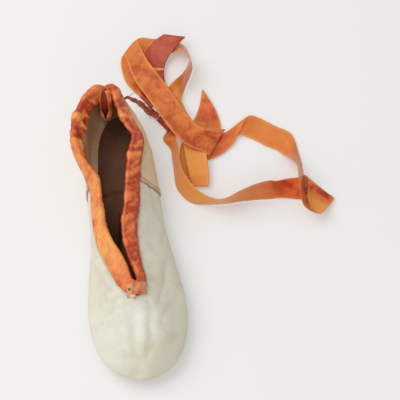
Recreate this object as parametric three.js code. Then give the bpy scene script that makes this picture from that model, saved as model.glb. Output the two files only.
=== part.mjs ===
// A soft leather ballet slipper on a straight last, for either foot, with a satin binding round the
// collar that holds a drawstring, and two satin ribbons that leave the back of the collar and lie on
// the floor. Millimetres. +Z is up, -Y points to the toe and +X to the right; the origin is on the
// floor under the middle of the shoe.
import * as THREE from "three";
import { mergeVertices } from "three/addons/utils/BufferGeometryUtils.js";

// Driving dimensions
const LENGTH = 240; // toe tip to heel back
const BALL_WIDTH = 76; // widest place of the forefoot
const COLLAR_HEIGHT = 56; // top of the collar at the heel
const WALL = 1.5; // leather with its lining
const GAP = 0.3; // between pieces that touch
const SOLE_THICKNESS = 2.6;
const SOLE_INSET = 7; // the sole's edge, in from the shoe's outline
const SOLE_BEVEL = 0.8;
const TOE_SPRING = 3.5; // lift of the sole's toe end
const ARCH_LIFT = 2; // lift of the sole at the waist
const MARGIN_WIDTH = 4; // the upper's margin that is turned in over the sole
const INSOLE_THICKNESS = 1.2;
const INSOLE_INSET = 8.5;
const SEAM_STEP = 0.7; // the quarter's edge stands this proud of the vamp
const SEAM_RUN = 0.6; // rows of the last over which the quarter thins again
const BINDING_THICKNESS = 0.9;
const BINDING_OUTER_LEG = 10.5;
const BINDING_INNER_LEG = 8;
const RIBBON_WIDTH = 20;
const RIBBON_THICKNESS = 0.5;

// The two ribbons' routes over the floor, chosen points in millimetres. across is the direction of the
// ribbon's width there, as a share of half its width: it shrinks where the satin is gathered or cut.
const RIBBON_LONG = [
  { x: 38.5, y: 114, z: 1, across: [0.5, 0.55, 0] },
  { x: 46, y: 101, z: 0.9, across: [0.5, 0.35, 0] },
  { x: 43, y: 94.5, z: 1.9, across: [0.35, 0.1, 0.12] },
  { x: 41.5, y: 88, z: 5, across: [0.25, -0.1, 0.4] },
  { x: 45.5, y: 77.5, z: 9.9, across: [0.1, -0.3, 0.9] },
  { x: 45, y: 59.5, z: 9.4, across: [0.1, -0.35, 0.85] },
  { x: 49, y: 41, z: 8.9, across: [0.5, -0.05, 0.8] },
  { x: 59.5, y: 28, z: 8.4, across: [0.55, -0.1, 0.75] },
  { x: 79.5, y: 23.5, z: 9.9, across: [-0.05, -0.2, 0.9] },
  { x: 91.5, y: 26, z: 10.4, across: [-0.05, 0, 0.95] },
  { x: 103.5, y: 28, z: 10.4, across: [0, 0.2, 0.95] },
  { x: 115.5, y: 29, z: 9.9, across: [0, 0.35, 0.9] },
  { x: 122.5, y: 31, z: 7.2, across: [0.05, 0.75, 0.6] },
  { x: 129, y: 33.5, z: 2.4, across: [0.1, 0.95, 0.15] },
  { x: 140.5, y: 32.5, z: 0.8, across: [0.05, 1, 0] },
  { x: 157.5, y: 31, z: 1.9, across: [-0.9, 1.05, 0] },
  { x: 154, y: 20.5, z: 3.2, across: [-0.8, 0.5, 0] },
  { x: 147.5, y: 11.5, z: 8.4, across: [-0.2, 0.75, -0.55] },
  { x: 143, y: 17, z: 9.2, across: [0.25, 0.55, -0.7] },
  { x: 143, y: 31.5, z: 9.9, across: [0.3, 0.15, -0.9] },
  { x: 143.5, y: 44, z: 9.9, across: [0.3, 0.2, -0.9] },
  { x: 141.5, y: 57.5, z: 7.4, across: [0.4, 0.55, -0.65] },
  { x: 136, y: 75, z: 1.5, across: [0.55, 0.85, 0] },
  { x: 125, y: 83, z: 1, across: [0.55, 0.85, 0] },
  { x: 113, y: 92, z: 1.5, across: [0.55, 0.85, 0] },
  { x: 105, y: 94.5, z: 3, across: [0.55, 0.85, 0] },
  { x: 98, y: 89, z: 2.5, across: [0.4, 0.95, 0] },
  { x: 86.5, y: 79.5, z: 2.5, across: [0.1, 1, 0] },
  { x: 79, y: 77.5, z: 3.5, across: [0.6, 1.3, 0] },
  { x: 74, y: 81.5, z: 5, across: [0.55, 0.85, 0] },
  { x: 62, y: 87.5, z: 6.5, across: [0.65, 0.8, 0] },
  { x: 52, y: 101, z: 7, across: [0.7, 0.75, 0] },
  { x: 44, y: 118, z: 7, across: [0.85, 0.5, 0] },
  { x: 36.5, y: 135, z: 6.5, across: [0.9, 0.45, 0] },
  { x: 30, y: 148.5, z: 6.5, across: [0.9, 0.4, 0] },
  { x: 25, y: 161.5, z: 6.5, across: [0.8, 0.3, 0] },
  { x: 22, y: 173.5, z: 6, across: [0.65, 0.55, 0] },
  { x: 20.5, y: 180, z: 4.6, across: [0.6, 0.7, 0] },
  { x: 27.5, y: 171, z: 3.2, across: [0.35, 0.95, 0] },
  { x: 39, y: 163, z: 3, across: [-0.15, 1, 0] },
  { x: 43, y: 171, z: 3.2, across: [-0.5, 0.85, 0] },
  { x: 47.5, y: 176, z: 9, across: [-0.45, 0.65, -0.5] },
  { x: 55.5, y: 183, z: 10.5, across: [-0.3, 0.75, -0.45] },
  { x: 67, y: 184, z: 11, across: [0.05, 0.45, -0.3] },
];
const RIBBON_SHORT = [
  { x: 34, y: 124.5, z: 1.2, across: [0.35, 0.35, 0] },
  { x: 29, y: 138.5, z: 1.2, across: [0.6, 0.55, 0] },
  { x: 21, y: 152, z: 1.2, across: [0.75, 0.55, 0] },
  { x: 18, y: 164.5, z: 1.2, across: [0.75, 0.45, 0] },
  { x: 18, y: 177.5, z: 1.2, across: [0.6, 0.35, 0] },
  { x: 28.5, y: 184, z: 1, across: [0, -0.7, 0] },
  { x: 38, y: 183, z: 1, across: [-0.15, -0.6, 0] },
  { x: 47, y: 180, z: 1.2, across: [-0.1, -0.75, 0.05] },
  { x: 57, y: 178, z: 7.4, across: [-0.05, -0.7, 0.65] },
  { x: 63.5, y: 172, z: 8.4, across: [-0.1, -0.6, 0.75] },
  { x: 68, y: 161, z: 8.9, across: [-0.1, -0.5, 0.8] },
  { x: 67, y: 151.5, z: 9.4, across: [-0.2, -0.3, 0.85] },
  { x: 60, y: 139, z: 10.4, across: [-0.15, 0.05, 0.95] },
  { x: 51.5, y: 131, z: 3, across: [-0.5, 0.6, 0] },
  { x: 49, y: 116.5, z: 3.2, across: [-0.9, -0.1, 0] },
  { x: 55, y: 98.5, z: 3.6, across: [-0.9, -0.2, 0] },
  { x: 61.5, y: 81.5, z: 3.4, across: [-0.9, -0.05, 0] },
  { x: 62, y: 65, z: 3, across: [-0.85, 0, 0] },
  { x: 62, y: 49, z: 2.8, across: [-0.65, 0.1, 0] },
  { x: 62.5, y: 41, z: 1.9, across: [-0.45, 0.15, 0] },
  { x: 63, y: 50, z: 1, across: [-0.75, 0.1, 0] },
  { x: 65, y: 70.5, z: 1, across: [-0.9, -0.1, 0] },
  { x: 69.5, y: 90, z: 1, across: [-1, -0.35, 0] },
  { x: 77.5, y: 105, z: 1.2, across: [-0.9, 0.3, 0] },
  { x: 78, y: 118.5, z: 2, across: [-0.5, 0.2, 0] },
  { x: 78, y: 129, z: 3, across: [-0.15, 0.1, 0] },
];

// The last, a row for each section from the heel to the toe, the same on both sides.
// y and half are the outline's place and half width, lean moves its widest line sideways, and bulge is
// the height of that line. All but y are shares of the ball width or, for heights, the collar height.
const OUTLINE_ROWS = [
  { at: "heel back", y: 0.5, half: 0, lean: -0.035, bulge: 0.34 },
  { at: "heel corner", y: 0.482, half: 0.145, lean: -0.035, bulge: 0.34 },
  { at: "heel round", y: 0.443, half: 0.24, lean: -0.025, bulge: 0.33 },
  { at: "heel side", y: 0.377, half: 0.315, lean: -0.012, bulge: 0.32 },
  { at: "heel waist", y: 0.297, half: 0.348, lean: 0, bulge: 0.3 },
  { at: "quarter", y: 0.217, half: 0.366, lean: 0, bulge: 0.285 },
  { at: "side seam", y: 0.135, half: 0.376, lean: 0, bulge: 0.275 },
  { at: "shank", y: 0.05, half: 0.384, lean: 0, bulge: 0.265 },
  { at: "waist", y: -0.04, half: 0.406, lean: 0, bulge: 0.25 },
  { at: "joint", y: -0.135, half: 0.453, lean: 0, bulge: 0.235 },
  { at: "ball", y: -0.242, half: 0.496, lean: 0, bulge: 0.22 },
  { at: "toe shoulder", y: -0.343, half: 0.482, lean: 0, bulge: 0.205 },
  { at: "toe corner", y: -0.427, half: 0.384, lean: 0, bulge: 0.195 },
  { at: "toe round", y: -0.481, half: 0.212, lean: 0, bulge: 0.19 },
  { at: "toe tip", y: -0.5, half: 0, lean: 0, bulge: 0.19 },
];
// The collar's edge for the same rows, as shares of ball width (x), length (y) and collar height (z).
// crown is the shoulder of the section between outline and collar: how far in it lies and how high.
// band, where it is given, is the binding's outer leg there as a share of its usual depth.
const COLLAR_RIGHT = [
  { x: -0.086, y: 0.471, z: 1, crownIn: 0.3, crown: 0.72 },
  { x: 0.012, y: 0.466, z: 0.99, crownIn: 0.3, crown: 0.71 },
  { x: 0.046, y: 0.412, z: 0.95, crownIn: 0.32, crown: 0.67 },
  { x: 0.1, y: 0.35, z: 0.9, crownIn: 0.3, crown: 0.63 },
  { x: 0.174, y: 0.3, z: 0.855, crownIn: 0.26, crown: 0.6 },
  { x: 0.118, y: 0.236, z: 0.8, crownIn: 0.32, crown: 0.555 },
  { x: 0.066, y: 0.162, z: 0.765, crownIn: 0.38, crown: 0.53 },
  { x: 0.024, y: 0.075, z: 0.74, crownIn: 0.4, crown: 0.52 },
  { x: -0.034, y: -0.004, z: 0.72, crownIn: 0.41, crown: 0.51 },
  { x: -0.038, y: -0.066, z: 0.705, crownIn: 0.41, crown: 0.5 },
  { x: -0.012, y: -0.124, z: 0.695, crownIn: 0.4, crown: 0.48 },
  { x: 0.032, y: -0.165, z: 0.686, crownIn: 0.37, crown: 0.45 },
  { x: 0.045, y: -0.193, z: 0.68, crownIn: 0.28, crown: 0.43 },
  { x: 0.036, y: -0.208, z: 0.676, crownIn: 0.22, crown: 0.42 },
  { x: 0.01, y: -0.214, z: 0.674, crownIn: 0.19, crown: 0.415 },
];
const COLLAR_LEFT = [
  COLLAR_RIGHT[0],
  { x: -0.19, y: 0.466, z: 1, crownIn: 0.32, crown: 0.71 },
  { x: -0.3, y: 0.44, z: 0.97, crownIn: 0.4, crown: 0.67 },
  { x: -0.41, y: 0.378, z: 0.93, crownIn: 0.5, crown: 0.63 },
  { x: -0.462, y: 0.305, z: 0.875, crownIn: 0.6, crown: 0.6 },
  { x: -0.42, y: 0.24, z: 0.825, crownIn: 0.5, crown: 0.58 },
  { x: -0.275, y: 0.166, z: 0.785, crownIn: 0.1, crown: 0.58 },
  { x: -0.262, y: 0.075, z: 0.765, crownIn: 0.08, crown: 0.565 },
  { x: -0.25, y: -0.004, z: 0.75, crownIn: 0.15, crown: 0.555 },
  { x: -0.198, y: -0.066, z: 0.735, crownIn: 0.28, crown: 0.53, band: 1.12 },
  { x: -0.122, y: -0.116, z: 0.715, crownIn: 0.36, crown: 0.5, band: 1.3 },
  { x: -0.072, y: -0.16, z: 0.695, crownIn: 0.36, crown: 0.455, band: 1.35 },
  { x: -0.048, y: -0.19, z: 0.684, crownIn: 0.28, crown: 0.43, band: 1.2 },
  { x: -0.026, y: -0.207, z: 0.678, crownIn: 0.22, crown: 0.42 },
  COLLAR_RIGHT[14],
];
const HALF_ROWS = OUTLINE_ROWS.length - 1;
const ROUND_ROWS = 2 * HALF_ROWS; // rows all round the shoe
const SEAM_ROW = OUTLINE_ROWS.findIndex((row) => row.at === "side seam");
const STATIONS_PER_ROW = 3;

// Lift of the sole's underside: flat at the heel and the ball, up a little at the waist and the toe.
function lift(y) {
  const share = y / LENGTH;
  const spring = THREE.MathUtils.smoothstep(-share, 0.34, 0.52);
  const rise = THREE.MathUtils.smoothstep(share, -0.1, 0.05);
  const fall = THREE.MathUtils.smoothstep(share, 0.1, 0.24);
  return TOE_SPRING * spring + ARCH_LIFT * (rise - fall);
}

// Rings: closed curves round the shoe, one point for each row, right side first.
function ring(pointOfRow) {
  const points = [];
  for (let k = 0; k < ROUND_ROWS; k++) {
    const left = k > HALF_ROWS;
    points.push(pointOfRow(left ? ROUND_ROWS - k : k, left));
  }
  return new THREE.CatmullRomCurve3(points, true, "centripetal");
}
function outlinePoint(i, left) {
  const row = OUTLINE_ROWS[i];
  const x = BALL_WIDTH * (left ? -row.half : row.half);
  return new THREE.Vector3(x, LENGTH * row.y, 0);
}
function bulgePoint(i, left) {
  const row = OUTLINE_ROWS[i];
  const point = outlinePoint(i, left);
  return point.setX(point.x + BALL_WIDTH * row.lean).setZ(COLLAR_HEIGHT * row.bulge);
}
function collarPoint(i, left) {
  const row = (left ? COLLAR_LEFT : COLLAR_RIGHT)[i];
  return new THREE.Vector3(BALL_WIDTH * row.x, LENGTH * row.y, COLLAR_HEIGHT * row.z);
}
function crownPoint(i, left) {
  const row = (left ? COLLAR_LEFT : COLLAR_RIGHT)[i];
  const point = bulgePoint(i, left).lerp(collarPoint(i, left), row.crownIn);
  return point.setZ(COLLAR_HEIGHT * row.crown);
}
const outlineRing = ring(outlinePoint);
const bulgeRing = ring(bulgePoint);
const crownRing = ring(crownPoint);
const collarRing = ring(collarPoint);

// The outline at a row, moved in by some millimetres and set at a height over the sole's lift.
function insetPoint(row, inset, height) {
  const u = row / ROUND_ROWS;
  const point = outlineRing.getPoint(u);
  const along = outlineRing.getTangent(u);
  point.x += along.y * inset;
  point.y -= along.x * inset;
  point.z = lift(point.y) + height;
  return point;
}

// The section of the upper at a row, from the margin under the foot, out over the sole's edge, up the
// side and in to the collar's edge. Heights over the sole, in millimetres.
const UPPER_BASE = SOLE_THICKNESS + GAP;
const TURN_INSET = 2;
const TURN_HEIGHT = 6;
function sectionCurve(row) {
  const u = row / ROUND_ROWS;
  return new THREE.CatmullRomCurve3(
    [
      insetPoint(row, SOLE_INSET + MARGIN_WIDTH, UPPER_BASE),
      insetPoint(row, SOLE_INSET - 1, UPPER_BASE),
      insetPoint(row, TURN_INSET, TURN_HEIGHT),
      bulgeRing.getPoint(u),
      crownRing.getPoint(u),
      collarRing.getPoint(u),
    ],
    false,
    "centripetal",
  );
}
const SECTION_PARTS = 5; // stretches between its control points
const LOWER_STOPS = [0, 1, 1.5, 2, 2.5, 3, 3.5, 4].map((stop) => stop / SECTION_PARTS);
const BINDING_SHARES = [1, 0.66, 0.33, 0]; // of the binding's outer leg, down from the collar's edge

// Where the wall has its rings: the parameter of the section curve at each, from the margin up.
function depthStop(curve, depth) {
  return curve.getUtoTmapping(1 - depth / curve.getLength());
}
function bandShare(row) {
  const band = (k) => {
    const i = k % ROUND_ROWS;
    const rows = i > HALF_ROWS ? COLLAR_LEFT : COLLAR_RIGHT;
    return rows[i > HALF_ROWS ? ROUND_ROWS - i : i].band ?? 1;
  };
  const first = Math.floor(row);
  return THREE.MathUtils.lerp(band(first), band(first + 1), row - first);
}
function sectionStops(row) {
  const curve = sectionCurve(row);
  const reach = BINDING_OUTER_LEG * bandShare(row);
  const upper = BINDING_SHARES.map((share) => depthStop(curve, share * reach));
  const crown = LOWER_STOPS[LOWER_STOPS.length - 1];
  return [...LOWER_STOPS, THREE.MathUtils.lerp(crown, upper[0], 0.5), ...upper];
}

const stations = [];
for (let k = 0; k < ROUND_ROWS * STATIONS_PER_ROW; k++) stations.push(k / STATIONS_PER_ROW);
const SEAM_EDGE = 0.04; // rows, just behind each side seam
const RIGHT_SEAM = SEAM_ROW;
const LEFT_SEAM = ROUND_ROWS - SEAM_ROW;
stations.push(RIGHT_SEAM - SEAM_EDGE, LEFT_SEAM + SEAM_EDGE);
stations.sort((a, b) => a - b);

// How proud the leather stands: the quarter's edge laps over the vamp at each side seam.
function seamStep(row) {
  const behindRight = RIGHT_SEAM - row;
  const behindLeft = row - LEFT_SEAM;
  const behind = row > HALF_ROWS ? behindLeft : behindRight;
  if (behind < SEAM_EDGE / 2) return 0;
  return SEAM_STEP * (1 - THREE.MathUtils.smoothstep(behind, 0.15, 0.15 + SEAM_RUN));
}

// Points of the middle surface and its outward normals: grid[station][stop].
const NUDGE = 0.02; // rows, for the slope of the surface
function sectionPoints(row, stops) {
  const curve = sectionCurve(row);
  const ahead = sectionCurve(row + NUDGE);
  const behind = sectionCurve(row - NUDGE);
  return stops.map((stop) => {
    const point = curve.getPoint(stop);
    const around = ahead.getPoint(stop).sub(behind.getPoint(stop));
    const up = curve.getTangent(stop);
    const normal = new THREE.Vector3().crossVectors(up, around).normalize();
    return { point, normal, up };
  });
}
function moved(place, along, distance) {
  return place.clone().addScaledVector(along, distance);
}

// A closed mesh from sections that stand round the shoe; the first joins the last. Each four-sided
// patch is split along its shorter diagonal.
function meshFromSections(sections) {
  const count = sections.length;
  const size = sections[0].length;
  const points = sections.flat();
  const positions = points.flatMap((p) => [p.x, p.y, p.z]);
  const faces = [];
  for (let k = 0; k < count; k++) {
    const next = (k + 1) % count;
    for (let j = 0; j < size; j++) {
      const a = k * size + j;
      const b = k * size + ((j + 1) % size);
      const c = next * size + ((j + 1) % size);
      const d = next * size + j;
      const shorter = points[a].distanceTo(points[c]) < points[b].distanceTo(points[d]);
      faces.push(...(shorter ? [a, b, c, a, c, d] : [a, b, d, b, c, d]));
    }
  }
  return bufferGeometry(positions, faces);
}
function bufferGeometry(positions, faces) {
  const geometry = new THREE.BufferGeometry();
  geometry.setAttribute("position", new THREE.Float32BufferAttribute(positions, 3));
  geometry.setIndex(faces);
  geometry.computeVertexNormals();
  return geometry;
}

// The upper: one wall of leather, open at the collar and, over the sole, underneath.
function upperGeometry() {
  return meshFromSections(
    stations.map((row) => {
      const stops = sectionStops(row);
      const wall = sectionPoints(row, stops);
      const outside = wall.map(({ point, normal }, j) => {
        const fade = THREE.MathUtils.smoothstep(stops[j], LOWER_STOPS[2], LOWER_STOPS[4]);
        return moved(point, normal, seamStep(row) * fade);
      });
      const inside = wall.map(({ point, normal }) => moved(point, normal, -WALL));
      return [...outside, ...inside.reverse()];
    }),
  );
}

// A plate of the outline's shape: the sole or the insole. Levels run from its underside to its top.
function plateGeometry(levels) {
  const positions = [];
  const faces = [];
  const size = ROUND_ROWS * STATIONS_PER_ROW;
  const half = size / 2;
  for (const { inset, height } of levels)
    for (let k = 0; k < size; k++) {
      const p = insetPoint(k / STATIONS_PER_ROW, inset, height);
      positions.push(p.x, p.y, p.z);
    }
  for (let level = 0; level < levels.length - 1; level++)
    for (let k = 0; k < size; k++) {
      const a = level * size + k;
      const b = level * size + ((k + 1) % size);
      faces.push(a, b + size, b, a, a + size, b + size);
    }
  const top = (levels.length - 1) * size;
  for (let k = 0; k < half; k++) {
    const far = (size - k) % size;
    const farNext = size - k - 1;
    const quad = [k, k + 1, farNext, far];
    for (const [a, b, c] of [
      [quad[0], quad[1], quad[2]],
      [quad[0], quad[2], quad[3]],
    ]) {
      if (a === b || b === c || a === c) continue;
      faces.push(a, b, c);
      faces.push(top + a, top + c, top + b);
    }
  }
  return bufferGeometry(positions, faces);
}

// The binding: a satin strip folded over the collar's edge, an outer and an inner leg.
function bindingSection(row) {
  const curve = sectionCurve(row);
  const near = GAP;
  const far = GAP + BINDING_THICKNESS;
  const step = seamStep(row);
  const outerDepths = BINDING_SHARES.map((share) => share * BINDING_OUTER_LEG);
  const innerDepths = outerDepths.filter((depth) => depth < BINDING_INNER_LEG).reverse();
  innerDepths.push(BINDING_INNER_LEG);
  const placesAt = (depths) =>
    sectionPoints(row, depths.map((depth) => depthStop(curve, depth * bandShare(row))));
  const outer = placesAt(outerDepths);
  const inner = placesAt(innerDepths);
  const edge = inner[0];
  const out = (place, distance) => moved(place.point, place.normal, distance);
  return [
    ...outer.map((place) => out(place, step + far)),
    moved(out(edge, step), edge.up, far),
    moved(out(edge, -WALL), edge.up, far),
    ...inner.map((place) => out(place, -WALL - far)),
    ...inner.map((place) => out(place, -WALL - near)).reverse(),
    moved(out(edge, -WALL - near), edge.up, near),
    moved(out(edge, step + near), edge.up, near),
    ...outer.map((place) => out(place, step + near)).reverse(),
  ];
}
function bindingGeometry() {
  return meshFromSections(stations.map(bindingSection));
}

// A folded tongue of the gathered binding that hangs inside the heel, off the binding's inner leg.
const GATHER_ROWS = [
  // drop and out are shares of the tongue's length, half of half its width, deep of its depth
  { drop: 0, out: 0.02, half: 1, deep: 0.5 },
  { drop: 0.2, out: 0.07, half: 0.92, deep: 0.85 },
  { drop: 0.5, out: 0.18, half: 0.66, deep: 1 },
  { drop: 0.8, out: 0.3, half: 0.56, deep: 1 },
  { drop: 0.95, out: 0.35, half: 0.42, deep: 0.8 },
  { drop: 1, out: 0.36, half: 0.2, deep: 0.4 },
];
const GATHER_LENGTH = 26;
const GATHER_WIDTH = 11;
const GATHER_DEPTH = 5;
const GATHER_TOP_DEPTH = 1.5; // below the collar's edge
const GATHER_SIDES = 12;
function gatherGeometry() {
  const curve = sectionCurve(0);
  const [place] = sectionPoints(0, [depthStop(curve, GATHER_TOP_DEPTH)]);
  const clear = WALL + BINDING_THICKNESS + 2 * GAP;
  const top = moved(place.point, place.normal, -clear);
  const into = new THREE.Vector3(0, -1, 0);
  const sections = GATHER_ROWS.map(({ drop, out, half, deep }) => {
    const centre = moved(top, into, GATHER_LENGTH * out + (GATHER_DEPTH * deep) / 2);
    centre.z -= GATHER_LENGTH * drop;
    const points = [];
    for (let k = 0; k < GATHER_SIDES; k++) {
      const angle = (2 * Math.PI * k) / GATHER_SIDES;
      const x = centre.x + (GATHER_WIDTH / 2) * half * Math.cos(angle);
      const y = centre.y + (GATHER_DEPTH / 2) * deep * Math.sin(angle);
      points.push(new THREE.Vector3(x, y, centre.z));
    }
    return points;
  });
  return stackGeometry(sections);
}

// The binding's two ends, folded over each other at the front of the throat, and the little knot of
// the drawstring that comes out beside them.
const TAB_FIRST_ROW = HALF_ROWS - 2;
const TAB_LAST_ROW = HALF_ROWS + 2;
const TAB_THICKNESS = 0.9;
const TAB_DEPTHS = [BINDING_OUTER_LEG * 0.15, BINDING_OUTER_LEG * 0.55, BINDING_OUTER_LEG + 0.5];
function tabGeometry() {
  const near = BINDING_THICKNESS + 2 * GAP;
  const sections = stations
    .filter((row) => row >= TAB_FIRST_ROW && row <= TAB_LAST_ROW)
    .map((row) => {
      const curve = sectionCurve(row);
      const places = sectionPoints(row, TAB_DEPTHS.map((depth) => depthStop(curve, depth)));
      const lower = places.map(({ point, normal }) => moved(point, normal, near));
      const upper = places.map(({ point, normal }) => moved(point, normal, near + TAB_THICKNESS));
      return [...upper, ...lower.reverse()];
    });
  return stackGeometry(sections);
}
const KNOT_ROW = HALF_ROWS + 1.4;
const KNOT_DEPTH = BINDING_OUTER_LEG * 0.8;
const KNOT_RADIUS = 2;
const KNOT_FLATTENING = 0.7;
const KNOT_SEGMENTS = 12;
function knotGeometry() {
  const curve = sectionCurve(KNOT_ROW);
  const [place] = sectionPoints(KNOT_ROW, [depthStop(curve, KNOT_DEPTH)]);
  const stand = BINDING_THICKNESS + TAB_THICKNESS + 3 * GAP + KNOT_RADIUS * KNOT_FLATTENING;
  const centre = moved(place.point, place.normal, stand);
  const up = new THREE.Vector3(0, 1, 0);
  const ball = new THREE.SphereGeometry(KNOT_RADIUS, KNOT_SEGMENTS, KNOT_SEGMENTS / 2);
  ball.scale(1, KNOT_FLATTENING, 1);
  ball.applyQuaternion(new THREE.Quaternion().setFromUnitVectors(up, place.normal));
  return ball.translate(centre.x, centre.y, centre.z);
}

// A closed mesh from a stack of rings, each closed by a flat face at the ends.
function stackGeometry(sections) {
  const size = sections[0].length;
  const last = sections.length - 1;
  const points = sections.flat();
  const positions = points.flatMap((p) => [p.x, p.y, p.z]);
  const faces = [];
  for (let k = 0; k < last; k++)
    for (let j = 0; j < size; j++) {
      const a = k * size + j;
      const b = k * size + ((j + 1) % size);
      faces.push(a, a + size, b, b, a + size, b + size);
    }
  for (let j = 1; j < size - 1; j++) {
    faces.push(0, j, j + 1);
    faces.push(last * size, last * size + j + 1, last * size + j);
  }
  return bufferGeometry(positions, faces);
}

// A flat strip along a route: sections of the ribbon's width and thickness.
const RIBBON_STEPS = 3; // sections for each stretch of the route
function ribbonGeometry(route) {
  const centres = new THREE.CatmullRomCurve3(
    route.map(({ x, y, z }) => new THREE.Vector3(x, y, z)), false, "centripetal");
  const widths = new THREE.CatmullRomCurve3(
    route.map(({ across }) => new THREE.Vector3(...across)), false, "catmullrom", 0.4);
  const count = (route.length - 1) * RIBBON_STEPS;
  const sections = [];
  for (let k = 0; k <= count; k++) {
    const centre = centres.getPoint(k / count);
    const across = widths.getPoint(k / count).multiplyScalar(RIBBON_WIDTH / 2);
    const normal = centres.getTangent(k / count).cross(across).normalize();
    const low = moved(centre, normal, -RIBBON_THICKNESS / 2);
    const high = moved(centre, normal, RIBBON_THICKNESS / 2);
    sections.push([
      low.clone().sub(across), high.clone().sub(across), high.add(across), low.add(across)]);
  }
  return stackGeometry(sections);
}

// The gathered neck of both ribbons, a tube from the collar down to the floor.
const NECK_ROW = 1.6; // where on the collar it leaves, in rows of the last
const NECK_RADIUS = 2.4;
const NECK_SIDES = 8;
const NECK_STEPS = 14;
const NECK_POINTS = [
  [15, 111, 36],
  [21, 116, 21],
  [26, 117, 9.5],
  [30.5, 115.5, 3.8],
  [35.5, 111.5, 3],
];
function neckGeometry() {
  const curve = sectionCurve(NECK_ROW);
  const depth = BINDING_OUTER_LEG + NECK_RADIUS + GAP;
  const [place] = sectionPoints(NECK_ROW, [depthStop(curve, depth)]);
  const route = [
    moved(place.point, place.normal, 2 * GAP),
    moved(place.point, place.normal, 2 * GAP + NECK_RADIUS),
    ...NECK_POINTS.map((point) => new THREE.Vector3(...point)),
  ];
  const round = new THREE.Shape().absarc(0, 0, NECK_RADIUS, 0, 2 * Math.PI);
  const path = new THREE.CatmullRomCurve3(route, false, "centripetal");
  const corners = new THREE.Shape(round.getPoints(NECK_SIDES / 2));
  return new THREE.ExtrudeGeometry(corners, { steps: NECK_STEPS, extrudePath: path });
}

function piece(name, geometry, colour, roughness) {
  const bare = geometry.clone();
  bare.deleteAttribute("normal");
  bare.deleteAttribute("uv");
  const closed = mergeVertices(bare);
  closed.computeVertexNormals();
  const material = new THREE.MeshStandardMaterial({ color: colour, roughness, metalness: 0 });
  const mesh = new THREE.Mesh(closed, material);
  mesh.name = name;
  return mesh;
}

const shoe = new THREE.Group();
const LEATHER = 0xe2dfd2;
const SUEDE = 0xb9a88c;
const DARK_INSOLE = 0x4a3424;
const SATIN = 0xe07a33;
const CORD = 0xd8c9ae;
shoe.add(
  piece("outsole", plateGeometry([
    { inset: SOLE_INSET + SOLE_BEVEL, height: 0 },
    { inset: SOLE_INSET, height: SOLE_BEVEL },
    { inset: SOLE_INSET, height: SOLE_THICKNESS },
  ]), SUEDE, 0.9),
  piece("insole", plateGeometry([
    { inset: INSOLE_INSET, height: UPPER_BASE + WALL + GAP },
    { inset: INSOLE_INSET, height: UPPER_BASE + WALL + GAP + INSOLE_THICKNESS },
  ]), DARK_INSOLE, 0.85),
  piece("upper", upperGeometry(), LEATHER, 0.6),
  piece("collar_binding", bindingGeometry(), SATIN, 0.4),
  piece("heel_gather", gatherGeometry(), SATIN, 0.4),
  piece("throat_tab", tabGeometry(), SATIN, 0.4),
  piece("drawstring_knot", knotGeometry(), CORD, 0.8),
  piece("ribbon_neck", neckGeometry(), SATIN, 0.4),
  piece("ribbon_long", ribbonGeometry(RIBBON_LONG), SATIN, 0.4),
  piece("ribbon_short", ribbonGeometry(RIBBON_SHORT), SATIN, 0.4),
);

export default shoe;
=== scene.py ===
"""A soft leather ballet slipper, its collar bound in satin, with two satin ribbons on a pale floor."""
import math
import bmesh
import bpy
import numpy as np
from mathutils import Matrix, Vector, noise


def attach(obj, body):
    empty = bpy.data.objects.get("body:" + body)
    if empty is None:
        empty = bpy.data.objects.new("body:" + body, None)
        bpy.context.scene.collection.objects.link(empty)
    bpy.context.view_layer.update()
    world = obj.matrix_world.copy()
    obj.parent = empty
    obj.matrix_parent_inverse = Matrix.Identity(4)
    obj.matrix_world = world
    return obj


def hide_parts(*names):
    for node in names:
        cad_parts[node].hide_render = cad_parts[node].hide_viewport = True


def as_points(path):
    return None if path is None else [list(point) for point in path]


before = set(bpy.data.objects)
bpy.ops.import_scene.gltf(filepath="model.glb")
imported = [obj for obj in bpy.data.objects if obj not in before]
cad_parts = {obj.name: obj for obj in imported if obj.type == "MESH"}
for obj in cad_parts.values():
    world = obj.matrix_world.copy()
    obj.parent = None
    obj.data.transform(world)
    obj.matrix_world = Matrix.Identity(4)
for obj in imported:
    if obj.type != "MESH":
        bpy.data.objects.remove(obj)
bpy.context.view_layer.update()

MM = 0.001  # the shoe is worked out in millimetres, as in its frame

# Driving dimensions, as in the part's source
LENGTH = 240
BALL_WIDTH = 76
COLLAR_HEIGHT = 56
WALL = 1.5
GAP = 0.3
SOLE_THICKNESS = 2.6
SOLE_INSET = 7
MARGIN_WIDTH = 4
TOE_SPRING = 3.5
ARCH_LIFT = 2
INSOLE_INSET = 8.5
INSOLE_THICKNESS = 1.2
UPPER_BASE = SOLE_THICKNESS + GAP
TURN_INSET = 2
TURN_HEIGHT = 6
BINDING_OUTER_LEG = 10.5
BINDING_INNER_LEG = 8
RIBBON_WIDTH = 20

# Finer measures, for what is shaped only here
SEAM_STEP = 0.8
PLEAT_DEPTH = 0.75
HEEL_SHADE_DEPTH = 0.9
BINDING_THICKNESS = 0.9
RIBBON_THICKNESS = 0.36
PLATE_CLOTH = (0.06, 0.22)  # metres, for the pattern on the insole and the outsole

# How finely things are worked out
SECTION_SAMPLES = 241
WALL_COLUMNS = 76
PLATE_COLUMNS = 41
PLATE_ROWS = 161
RIBBON_STEPS = 14
RIBBON_COLUMNS = 25
MERGE_DISTANCE = 5e-6
SHORTEST_EDGE = 1e-7

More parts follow.
